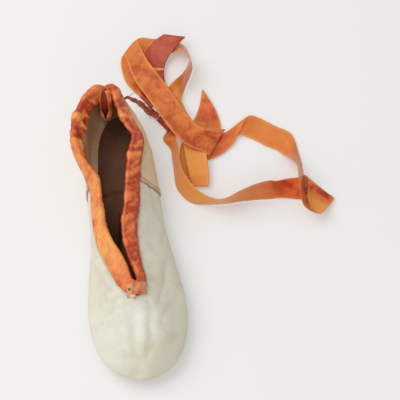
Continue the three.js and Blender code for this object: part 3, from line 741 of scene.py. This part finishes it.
def pinched(rows, depth):
    """How far the pinched gathers lift the satin at each place."""
    height = 0 * (rows[:, None] + depth)
    for row, below, half_rows, half_width, most in PINCHES:
        away = np.hypot((rows[:, None] - row) / half_rows, (depth - below) / half_width)
        height += most * (bell(away - 1, 0.35) - 0.45 * bell(away, 0.5))
    return height


def make_binding():
    rows = stations(30)
    from_heel = past_heel(rows)
    lobes = sum(most * bell(from_heel - row, half) for row, half, most in HEEL_LOBES)[:, None]
    unruffled = 1 - 0.65 * bell(from_heel, 1.4)[:, None]
    edge = on_ring(COLLAR, rows)
    run = distances(edge)
    leg = BINDING_OUTER_LEG * band(rows)
    hem = leg + 0.8 * waves(np.column_stack([run, run * 0]), 9, 2.2)
    outer = np.linspace(1, 0.04, 15)[None] * hem[:, None]
    puff = read_off(PUFFED, rows)[0]
    inner_leg = BINDING_INNER_LEG * band(rows) * (1 + 0.65 * puff)
    roll = 0.6 * puff[:, None]
    inner = np.linspace(0.04, 1, 17)[None] * inner_leg[:, None]
    stand = GAP + BINDING_THICKNESS

    def pucker(depth, seed, most):
        place = np.stack([np.broadcast_to(run[:, None], depth.shape), depth * 0.28], axis=-1)
        slant = place + 2.8 * np.stack([place[..., 1], 0 * place[..., 1]], axis=-1)
        fine = 0.5 - 2.2 * np.abs(waves(slant, 4.6, seed))
        broad = waves(place, 10, seed + 4)
        calm = 1 - 0.8 * read_off(CALM, rows)[0][:, None]
        return most * calm * unruffled * (0.7 * fine + 1.1 * broad)

    # The outer leg
    point, normal, _ = wall(rows, depth_places(rows, outer))
    plump = np.sin(np.pi * np.clip(outer / leg[:, None], 0, 1))
    fold = pucker(outer, 1.3, 1.15) * smooth(outer, 11, 8)
    pinch = pinched(rows, outer)
    ridge = [fold + pinch]
    high = bell(outer, 6) * (roll + lobes)
    lifted = stand + plump + np.maximum(fold, -0.75) + pinch + high + seam_rise(rows)[:, None]
    outside = point + normal * lifted[..., None]
    # Over the edge
    top, top_normal, top_up = wall(rows, np.ones((len(rows), 1)))
    arc = []
    radius = WALL / 2 + stand
    fold = pucker(np.zeros((len(rows), 1)), 1.3, 0.8)
    pinch = pinched(rows, np.zeros((len(rows), 1)))
    reach = radius + 0.3 + np.maximum(fold, -0.3) + roll + lobes + np.maximum(pinch, -0.3)
    for angle in np.linspace(0.12, 0.88, 7) * np.pi:
        ridge.append(fold + pinch)
        turn = top_normal * np.cos(angle) + top_up * np.sin(angle)
        arc.append((top - top_normal * WALL / 2 + turn * reach[..., None])[:, 0])
    # The inner leg
    point, normal, _ = wall(rows, depth_places(rows, inner))
    share = np.clip(inner / inner[:, -1:], 0, 1)
    plump = 0.5 * np.sin(np.pi * share)
    fold = pucker(inner, 1.3, 0.9)
    pinch = pinched(rows, -inner)
    ridge.append(fold + pinch)
    puffed = puff[:, None] * 3.6 * np.sin(np.pi * share**0.8 * 0.95) * (1 + 0.3 * fold)
    kept = (roll + np.maximum(lobes, 0)) * smooth(share, 1, 0.5)
    sunk = WALL + stand + plump + kept + puffed + np.maximum(fold, -0.6) + np.maximum(pinch, -0.9)
    inside = point - normal * sunk[..., None]
    skin = np.concatenate([outside, np.stack(arc, axis=1), inside], axis=1)
    # Its colours: darker along the outer leg's hem, and painted shade on the inner leg, inside the collar
    across = np.linspace(0, 1, skin.shape[1])[None]
    stain_and_shade = read_off(BINDING_STAINS, rows)[0][:, None] + 0.45 * bell(across - 0.02, 0.09)
    stain_and_shade = stain_and_shade + 0.35 * smooth(across, 0.5, 0.8)
    gold = read_off(BINDING_GOLD, rows)[0][:, None] + 0 * across
    marks = {"stain_and_shade": np.clip(stain_and_shade, 0, 1.4), "gold": gold, "ridge": np.concatenate(ridge, axis=1)}
    binding = grid_piece("collar_binding_satin", skin, [BINDING_SATIN], (run[-1] * MM, 0.02),
                         marks, join=True, flip=True)
    thicken(binding, BINDING_THICKNESS * 0.55)
    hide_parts("collar_binding")
    return skin


def frames_along(points):
    """Directions along a path and two directions across it that turn as little as they can."""
    along = np.gradient(points, axis=0)
    along /= np.linalg.norm(along, axis=1, keepdims=True)
    side = np.cross(along[0], [0, 0, 1.0])
    if np.linalg.norm(side) < 0.1:
        side = np.cross(along[0], [1.0, 0, 0])
    sides = []
    for direction in along:
        side = side - direction * (side @ direction)
        side /= np.linalg.norm(side)
        sides.append(side)
    sides = np.array(sides)
    return along, sides, np.cross(along, sides)


def tube(name, path, steps, radius, materials, sides, shape=None, marks=None):
    """A closed tube along a path. radius and shape are functions of the share along it."""
    share = np.linspace(0, 1, steps)
    centre = spline(np.array([path]), share[None])[0]
    _, right, up = frames_along(centre)
    angle = np.linspace(0, 2 * np.pi, sides + 1)[:, None]
    size = radius(share)[None] * (shape(angle, share[None]) if shape else 1)
    points = centre[None] + (right[None] * np.cos(angle)[..., None]
                             + up[None] * np.sin(angle)[..., None]) * size[..., None]
    filled = {key: np.broadcast_to(value(share), size.shape) for key, value in (marks or {}).items()}
    cloth = (0.02, distances(centre)[-1] * MM)
    return grid_piece(name, points, materials, cloth, filled, join=True), centre


def rounded_ends(share, tip=0.03):
    """1 along a tube and down to nothing at both its ends."""
    near = np.minimum(share, 1 - share)
    return np.sqrt(np.clip(1 - (1 - np.clip(near / tip, 0, 1)) ** 2, 0, 1))


# The gathered binding at the heel: a tulip of folded satin that hangs inside. By the share of its drop:
# how far it stands in, its half width and its depth, and how nearly its two edges meet
GATHER_ROWS = [(0, 0.02, 0.8, 0.5), (0.2, 0.07, 0.86, 0.85), (0.5, 0.18, 0.88, 1),
               (0.8, 0.3, 0.82, 1), (0.95, 0.35, 0.72, 1), (1, 0.36, 0.6, 1)]
GATHER_SHUT = [(0, 0.9), (0.15, 0.8), (0.45, 0.78), (0.66, 0.93), (0.85, 0.975), (1, 0.975)]


def make_heel_gather():
    rows = np.array([0.0])
    point, normal, _ = wall(rows, depth_places(rows, np.array([[1.5]])))
    top = point[0, 0] - normal[0, 0] * (WALL + BINDING_THICKNESS + 2 * GAP)
    share = np.sin(np.linspace(0, 1, 65) * np.pi / 2)
    out, half, deep = read_off(GATHER_ROWS, share)
    close = np.sqrt(np.clip(1 - (np.clip(share - 0.66, 0, 1) / 0.34) ** 2, 0.0004, 1))
    half = half * close * (1 + 0.1 * np.sin(9 * share + 1))
    deep = deep * np.maximum(close, 0.3)
    shut = read_off(GATHER_SHUT, share)[0]
    turn = np.linspace(-1, 1, 61)[:, None] * shut[None] * np.pi + 0.3
    folds = 1 + 0.08 * np.cos(4 * turn + 3 * share[None]) + 0.04 * np.cos(9 * turn)
    x = top[0] + 5.7 * half * np.sin(turn) * folds
    y = (top[1] + 1.2 - 26 * out - 4.2 * smooth(share, 0, 0.25) - 2.6 * deep
         + 3.2 * deep * np.cos(turn) * folds)
    rim = smooth(np.abs(turn), 2.0, 2.7)
    z = top[2] + 3.2 - 26.5 * share[None] + 0.6 * rim * np.cos(8 * share[None]) * close
    points = np.stack([x, y, z], axis=-1)
    marks = {"stain_and_shade": 0.8 + 0.5 * smooth(share, 0.5, 0.75) + 0 * turn,
             "gold": 0.05 + 0.4 * rim + 0 * share, "ridge": 0.5 * rim + 0 * share}
    gather = grid_piece("heel_gather_satin", points, [BINDING_SATIN, SHADED_INNER_SATIN], (0.03, 0.026), marks)
    # The inner face takes the darker satin: painted shade
    thicken(gather, 0.7, inner_material=1)
    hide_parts("heel_gather")


# The binding's two ends, folded over each other at the front of the throat
TAB_CORNERS = [(-7.0, -61.9), (8.6, -60.4), (-6.6, -52.4), (8.2, -52.0)]  # front two, then rear two


def rest_on(flat, below, stand, reach=1.6):
    """Heights for flat points that lie on the highest of the points below them, nearby."""
    gaps = np.linalg.norm(flat[:, :, None] - below[None, None, :, :2], axis=-1)
    heights = np.where(gaps < reach, below[None, None, :, 2] - gaps * 0.25, -1e3).max(axis=-1)
    for _ in range(6):
        middle = heights.copy()
        middle[1:-1, 1:-1] = (heights[2:, 1:-1] + heights[:-2, 1:-1]
                              + heights[1:-1, 2:] + heights[1:-1, :-2]) / 4
        heights = np.maximum(middle, heights - 0.15)
    return heights + stand


def make_throat_tab(skin):
    front = np.linspace(11, 17, 90)
    below_edge = np.linspace(6, 24, 30)[None] * np.ones((90, 1))
    leather_top, _, _ = wall(front, depth_places(front, below_edge))
    near = np.concatenate([skin.reshape(-1, 3), leather_top.reshape(-1, 3)])
    near = near[(np.abs(near[:, 0]) < 14) & (near[:, 1] < -46) & (near[:, 1] > -72)]
    u, v = np.meshgrid(np.linspace(0, 1, 49), np.linspace(0, 1, 37), indexing="ij")
    a, b, c, d = (np.array(corner) for corner in TAB_CORNERS)
    u3, v3 = u[..., None], v[..., None]
    flat = (a * (1 - u3) + b * u3) * (1 - v3) + (c * (1 - u3) + d * u3) * v3
    flat = flat + 0.35 * np.stack([waves(flat, 4, 3.3), waves(flat, 4, 8.3)], axis=-1)
    strip = smooth(u, 0.3, 0.24)
    fold = 0.55 * bell(u - 0.62 - 0.3 * (v - 0.5), 0.1) + 0.5 * bell(v - 0.93, 0.08)
    rise = 0.5 + 0.55 * (1 - strip) * smooth(u, 0.24, 0.34) + fold + 0.3 * waves(flat, 3.2, 6.6)
    points = np.dstack([flat, rest_on(flat, near, 0.0) + rise])
    stain_and_shade = np.clip(1.1 * np.exp(-((u - 0.55) ** 2 + (v - 0.3) ** 2) / 0.05) + 0.35 * (1 - strip), 0, 1)
    marks = {"stain_and_shade": stain_and_shade, "gold": 0.9 * strip + 0.7 * smooth(u, 0.75, 0.95), "ridge": fold - 0.2}
    tab = grid_piece("throat_tab_satin", points, [TAB_SATIN], (0.016, 0.012), marks)
    thicken(tab, 0.7)
    round_edges(tab, 0.25, 2)
    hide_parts("throat_tab")
    return points


# The drawstring: a small cream knot that comes out under the tab, below its eyelet
def make_drawstring(tab):
    edge = tab[12, 0]
    centre = np.array([edge[0] - 0.2, edge[1] - 0.3, edge[2] + 0.3])
    out, side = np.array([0, -0.5, 0.87]), np.array([1.0, 0, 0])
    up = np.cross(out, side)
    turn = np.linspace(0, 2 * np.pi, 25)
    loop = [centre + side * (0.6 + 1.2 * (np.sin(t) + 0.4 * np.sin(2 * t))) + up * 0.6 * (
        np.cos(t) - 0.5 * np.cos(2 * t)) + out * 0.5 * np.sin(3 * t) for t in turn]
    knot, _ = tube("drawstring_knot_cord", loop, 120, lambda s: 0.8 * rounded_ends(s), [COTTON], 10)
    ends = [loop[0], loop[0] + side * 1.6 - up * 0.3, loop[0] + side * 3.0 - up * 0.9 - out * 0.7]
    tail, _ = tube("drawstring_end", ends, 30, lambda s: 0.6 * rounded_ends(s, 0.15), [COTTON], 10)
    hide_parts("drawstring_knot")
    spot = tab[7, 20] + out * 0.1
    turn = np.linspace(0, 2 * np.pi, 17)
    rim = [spot + side * 0.95 * np.cos(t) + up * 0.95 * np.sin(t) for t in turn]
    eyelet, _ = tube("throat_eyelet", rim, 48, lambda s: 0.3 + 0 * s, [EYELET_THREAD], 8)
    # A dark plug in the eyelet: painted shade for the hole
    hole = [spot - out * 0.25, spot + out * 0.12]
    dark, _ = tube("eyelet_hole_shade", hole, 8, lambda s: 0.85 * rounded_ends(s, 0.2), [DARK_INSOLE], 16)


# The neck: both ribbons gathered and twisted, from the binding down to the floor
NECK_ROW = 1.6
NECK_RADIUS = 2.4
NECK_GROWTH = [(0, 0.5), (0.2, 0.5), (0.5, 1.05), (0.8, 1.45), (1, 1.2)]
NECK_POINTS = [(15, 111, 36), (21, 116, 21), (26, 117, 9.5), (30.5, 115.5, 3.8), (35.5, 111.5, 3)]


def make_neck():
    rows = np.array([NECK_ROW])
    depth = BINDING_OUTER_LEG + NECK_RADIUS + GAP
    point, normal, _ = wall(rows, depth_places(rows, np.array([[depth]])))
    start, out = point[0, 0], normal[0, 0]
    route = [start + out * 2 * GAP, start + out * (2 * GAP + NECK_RADIUS)] + [
        np.array(p, float) for p in NECK_POINTS]

    def radius(share):
        grown = read_off(NECK_GROWTH, share)[0]
        return NECK_RADIUS * grown * (0.93 + 0.1 * np.sin(share * 19)) * rounded_ends(share, 0.03)

    def lobes(angle, share):
        turned = angle + 9 * share + 0.5 * np.sin(share * 11)
        return 0.84 + 0.2 * np.cos(2 * turned) + 0.13 * np.cos(5 * turned + 1)

    neck, centre = tube("ribbon_neck_satin", route, 150, radius, [NECK_SATIN], 48, lobes,
                        {"stain_and_shade": lambda s: 0.9 + 0 * s})
    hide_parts("ribbon_neck")
    length = distances(centre)[-1] * MM
    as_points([list(p * MM) for p in centre[::5]] + [list(centre[-1] * MM)])
    threads = [
        [(12, 112.5, 37), (15, 115.5, 36.5), (18.5, 116.5, 36), (20.5, 114.5, 36.5)],
        [(14, 110.5, 35), (20, 107.5, 32), (26, 104, 26), (29, 101, 18)],
    ]
    for k, path in enumerate(threads):
        thread, _ = tube(f"loose_thread_{k + 1}", np.array(path, float), 40,
                         lambda s: 0.22 * rounded_ends(s, 0.1), [GREY_THREAD], 6)


# The ribbons' routes: the middle's x, y, z and the half width's direction. They follow the routes in the
# part's source, refined where one ribbon passes over another
RIBBON_LONG = [
    (38.5, 114, 1, 0.5, 0.55, 0), (46, 101, 0.9, 0.5, 0.35, 0), (43, 94.5, 1.9, 0.5, 0.1, 0.12),
    (42.5, 88, 5, 0.5, -0.1, 0.4), (45.2, 78.7, 6, 0.3, -0.2, 0.5), (45.3, 63, 6.4, 0.27, -0.3, 0.6),
    (48, 43, 8.9, 0.48, -0.1, 0.8), (59.5, 28, 8.4, 0.55, -0.1, 0.75),
    (79.5, 23.5, 9.9, -0.05, -0.2, 0.9), (91.5, 26, 10.4, -0.05, 0, 0.95),
    (103.5, 28, 10.4, 0, 0.2, 0.95), (115.5, 29, 9.9, 0, 0.35, 0.9), (122.5, 30.5, 6.4, 0.05, 0.55, 0.45),
    (130, 32.6, 2.4, 0.08, 0.8, 0.1), (140.5, 32.2, 0.8, 0.05, 0.98, 0), (157.5, 31, 1.9, -0.9, 1.05, 0),
    (154.5, 19, 3.2, -0.8, 0.62, 0), (147.6, 9.4, 6.2, -0.42, 0.68, -0.5),
    (143.5, 15, 9.2, 0.3, 0.6, -0.7), (143, 31.5, 9.9, 0.3, 0.15, -0.9),
    (143.5, 44, 9.9, 0.3, 0.2, -0.9), (141.5, 57.5, 7.4, 0.4, 0.55, -0.65),
    (136, 75, 1.5, 0.55, 0.85, 0), (125, 83, 1, 0.55, 0.85, 0), (113, 92, 1.5, 0.55, 0.85, 0),
    (105, 94.5, 3, 0.55, 0.85, 0), (98, 89, 2.2, 0.35, 0.95, 0), (86.5, 81, 1.8, 0.3, 1, 0),
    (75, 76.5, 2.2, 0.7, 1.1, 0), (80.5, 80.5, 3.9, 0.8, 1.15, 0),
    (73.5, 81.8, 6.8, 0.65, 0.95, 0), (62, 86.3, 8.8, 0.65, 0.8, 0),
    (52, 99.9, 9.2, 0.7, 0.75, 0), (44, 116.8, 9.2, 0.85, 0.5, 0), (36.5, 134.2, 8, 0.9, 0.45, 0),
    (30, 148.5, 6.5, 0.9, 0.4, 0), (25, 161.5, 6.5, 0.8, 0.3, 0), (22, 173.5, 6, 0.65, 0.55, 0),
    (20.5, 180, 4.6, 0.6, 0.7, 0), (24, 172, 3.6, 0.7, 0.55, 0), (29.5, 158, 2.8, 0.9, 0.35, 0),
    (34, 147, 2.6, 0.98, 0.1, 0), (35, 143, 3.4, 1, 0, 0), (35, 151, 4.1, 1, 0, 0),
    (36.5, 160, 4.3, 0.97, -0.25, 0), (40.5, 169, 5, 0.78, -0.6, 0), (48, 177, 7.4, 0.68, -0.65, 0.1),
    (58, 184.5, 9.6, 0.88, -0.3, 0.1),
]
RIBBON_SHORT = [
    (34, 124.5, 1.2, 0.35, 0.35, 0), (29, 138.5, 1.2, 0.6, 0.55, 0), (21, 152, 1.2, 0.75, 0.55, 0),
    (18, 164.5, 1.2, 0.75, 0.45, 0), (18, 177.5, 1.2, 0.6, 0.35, 0), (28.5, 184, 1, 0, -0.7, 0),
    (38, 183, 1, -0.15, -0.6, 0), (47, 180, 1.2, -0.1, -0.75, 0.05), (57, 177, 4, -0.1, -0.75, 0.3),
    (64, 171.5, 7, -0.15, -0.65, 0.65), (68, 161, 8.9, -0.1, -0.5, 0.8),
    (67, 151.5, 9.4, -0.2, -0.3, 0.85), (60, 139, 10.4, -0.15, 0.05, 0.95), (51.5, 130.5, 4, -0.5, 0.6, 0),
    (49, 115.4, 5.4, -0.9, -0.1, 0), (56, 97.7, 5.2, -0.84, -0.2, 0), (61.5, 80.9, 5.8, -0.88, -0.05, 0),
    (62, 64.6, 6, -0.85, 0, 0), (62.5, 50, 5, -0.78, 0.08, 0), (62, 42.5, 3, -0.62, 0.1, 0),
    (59, 51, 1.4, -0.75, 0.1, 0.12), (56.4, 69, 2.6, -0.78, -0.1, 0.2), (62, 88, 1.7, -1, -0.35, 0.1),
    (74, 98.5, 1.3, -1.1, 0.5, 0), (77, 113, 1.8, -0.72, 0.3, 0), (75.4, 132, 3, -0.07, 0.03, 0),
]
# Where each ribbon is golden and where it is stained: the row of its route and the two shares. Some gold
# is a painted highlight and some stain is painted shade, at the rows below
# Painted highlights near rows 16.2 to 16.8 and 43.7; painted shade at the fold near row 25.15; the dark
# end from row 41 is partly stain and partly painted shade
LONG_TONES = [
    (0, 0, 2), (1, 0, 1.8), (3, 0.3, 0.6), (4, 0.5, 0.2), (7, 0.9, 0), (8, 0.6, 0), (11, 0.1, 0.2),
    (13, 0, 0.7), (15.5, 0, 1.2), (15.9, 0.3, 0.7), (16.2, 1, 0), (16.8, 1.1, 0), (17.2, 0.2, 0.8),
    (18, 0, 1.1), (20, 0.2, 0.1), (23, 0.45, 0), (24.8, 0.3, 0), (25.15, 0, 0.9), (25.5, 0.4, 0.1),
    (27, 0, 0.5),
    (29, 0.1, 0.9), (30, 0.2, 0.9), (32, 0.3, 0.7), (34, 0.3, 0.8), (36, 0.4, 0.7), (38, 0.4, 0.3),
    (41, 0, 1.6), (43.4, 0, 2), (43.7, 1, 0.7), (43.95, 0, 2), (47, 0, 1.75),
]
# Painted highlights near rows 17.2 and 18.6; painted shade near row 19.1; painted light from row 19.4 to
# 21.2, on the stretch that runs under the fold
SHORT_TONES = [
    (0, 0, 2), (1, 0.1, 1.5), (2, 0.45, 0.3), (5, 0.3, 0.2), (8, 0.5, 0.3), (11, 0.1, 0.3),
    (13, 0.5, 0.3), (15, 0.9, 0), (16.3, 0.9, 0), (17.2, 1.3, 0), (18, 0.7, 0.1), (18.6, 1.1, 0),
    (19.1, 0.3, 0.4), (19.4, 1, 0), (21.2, 0.8, 0), (22, 0.4, 0.3), (24, 0, 0.9), (25, 0.5, 0.3),
]


def ribbon_strip(name, route, tones, seed):
    """A flat strip of satin along a route: cupped a little, with a tight woven edge."""
    route = np.array(route, float)
    share = np.linspace(0, 1, (len(route) - 1) * RIBBON_STEPS + 1)
    centre = spline(route[None, :, :3], share[None])[0]
    across = spline(route[None, :, 3:], share[None])[0] * RIBBON_WIDTH / 2
    along = np.gradient(centre, axis=0)
    along /= np.linalg.norm(along, axis=1, keepdims=True)
    out = np.cross(along, across)
    out /= np.linalg.norm(out, axis=1, keepdims=True)
    run = distances(centre)
    side = np.linspace(-1, 1, RIBBON_COLUMNS)[:, None]
    place = np.stack([run[None] + 0 * side, side * 8 + 0 * run[None]], axis=-1)
    rise = 0.5 * waves(place, 19, 4.4) + 0.15 * waves(place, 5, 9.1) + 0.25 * (1 - side**2) - 0.12
    gathered = 1 - smooth(run, 6, 26)[None]
    rise = rise + gathered * (1.6 + 1.5 * np.cos(side * 12 + run[None] / 7 + seed))
    points = centre[None] + across[None] * side[..., None] + out[None] * rise[..., None]
    points[..., 2] = np.maximum(points[..., 2], 0.35)
    gold, stain_and_shade = read_off(tones, share * (len(route) - 1))
    woven_edge = smooth(np.abs(side), 0.7, 0.96)
    marks = {"gold": gold[None] + 0.4 * woven_edge, "ridge": rise * 0.5,
             "stain_and_shade": stain_and_shade[None] * (1 - 0.75 * woven_edge * (stain_and_shade[None] < 1.4))}
    strip = grid_piece(name, points, [RIBBON_SATIN], (RIBBON_WIDTH * MM, run[-1] * MM), marks)
    thicken(strip, RIBBON_THICKNESS, offset=0)
    return strip


# The pale floor. It gives off a little light, so that shadows stay as pale as in the photograph
FLOOR_SIZE = 3
FLOOR_DROP = 0.0002
FLOOR_GREY = (0.55, 0.545, 0.54)
FLOOR_GREY_PALE = (0.57, 0.565, 0.56)
FLOOR_GLOW = (1, 0.985, 0.965, 1)
FLOOR_GLOW_STRENGTH = 0.28


def make_stage():
    bm = bmesh.new()
    bmesh.ops.create_grid(bm, x_segments=1, y_segments=1, size=FLOOR_SIZE)
    for vert in bm.verts:
        vert.co.z = -FLOOR_DROP
    mesh = bpy.data.meshes.new("floor")
    bm.to_mesh(mesh)
    bm.free()
    floor = add_object("floor", mesh)
    made, tree, place = shader("pale_floor", 0.9, **{
        "Specular IOR Level": 0.1, "Emission Color": FLOOR_GLOW,
        "Emission Strength": FLOOR_GLOW_STRENGTH})
    paint(tree, blend_colour(tree, noise_at(tree, place, 3, 2), FLOOR_GREY, FLOOR_GREY_PALE))
    floor.data.materials.append(made)


def aim(thing, target):
    thing.rotation_euler = (Vector(target) - thing.location).to_track_quat("-Z", "Y").to_euler()


def make_light(name, place, target, size, watts):
    data = bpy.data.lights.new(name, "AREA")
    data.shape = "DISK"
    data.size = size
    data.energy = watts
    lamp = add_object(name, data)
    lamp.location = place
    aim(lamp, target)


# The camera, where it was for the photograph, and the light
ELEVATION = math.radians(63)
DISTANCE = 1.3
PHOTO_CENTRE = (-0.014, 0.029, 0)
CAMERA_PLACE = (PHOTO_CENTRE[0], PHOTO_CENTRE[1] - DISTANCE * math.cos(ELEVATION),
                DISTANCE * math.sin(ELEVATION))
AIM_POINT = (0.0604, 0.032, 0)
VIEW_WIDTH = 0.322  # across the picture, at the aim's distance
FILM_WIDTH = 36
ROOM_COLOUR = (1, 0.99, 0.98, 1)
ROOM_STRENGTH = 0.57


def make_camera():
    data = bpy.data.cameras.new("camera")
    camera = add_object("camera", data)
    camera.location = CAMERA_PLACE
    aim(camera, AIM_POINT)
    away = (Vector(AIM_POINT) - camera.location).length
    data.sensor_width = FILM_WIDTH
    data.lens = FILM_WIDTH * away / VIEW_WIDTH
    bpy.context.scene.camera = camera


def make_lights():
    world = bpy.data.worlds.new("soft_room")
    bpy.context.scene.world = world
    world.use_nodes = True
    background = world.node_tree.nodes["Background"]
    background.inputs["Color"].default_value = ROOM_COLOUR
    background.inputs["Strength"].default_value = ROOM_STRENGTH
    make_light("key_light", place=(-0.75, 0.4, 1.2), target=(0, 0, 0), size=1.6, watts=14)
    make_light("fill_light", place=(-0.2, -1.0, 0.8), target=(0.03, -0.05, 0), size=1.2, watts=2.6)
    bpy.context.scene.view_settings.view_transform = "Standard"


make_stage()
make_lights()
make_camera()
make_upper()
make_insole()
make_outsole()
make_collar_stitches()
make_seam_stitches()
binding_skin = make_binding()
make_heel_gather()
tab_points = make_throat_tab(binding_skin)
make_drawstring(tab_points)
make_neck()
long_ribbon = ribbon_strip("ribbon_long_satin", RIBBON_LONG, LONG_TONES, 0.0)
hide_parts("ribbon_long")
short_ribbon = ribbon_strip("ribbon_short_satin", RIBBON_SHORT, SHORT_TONES, 2.0)
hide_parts("ribbon_short")
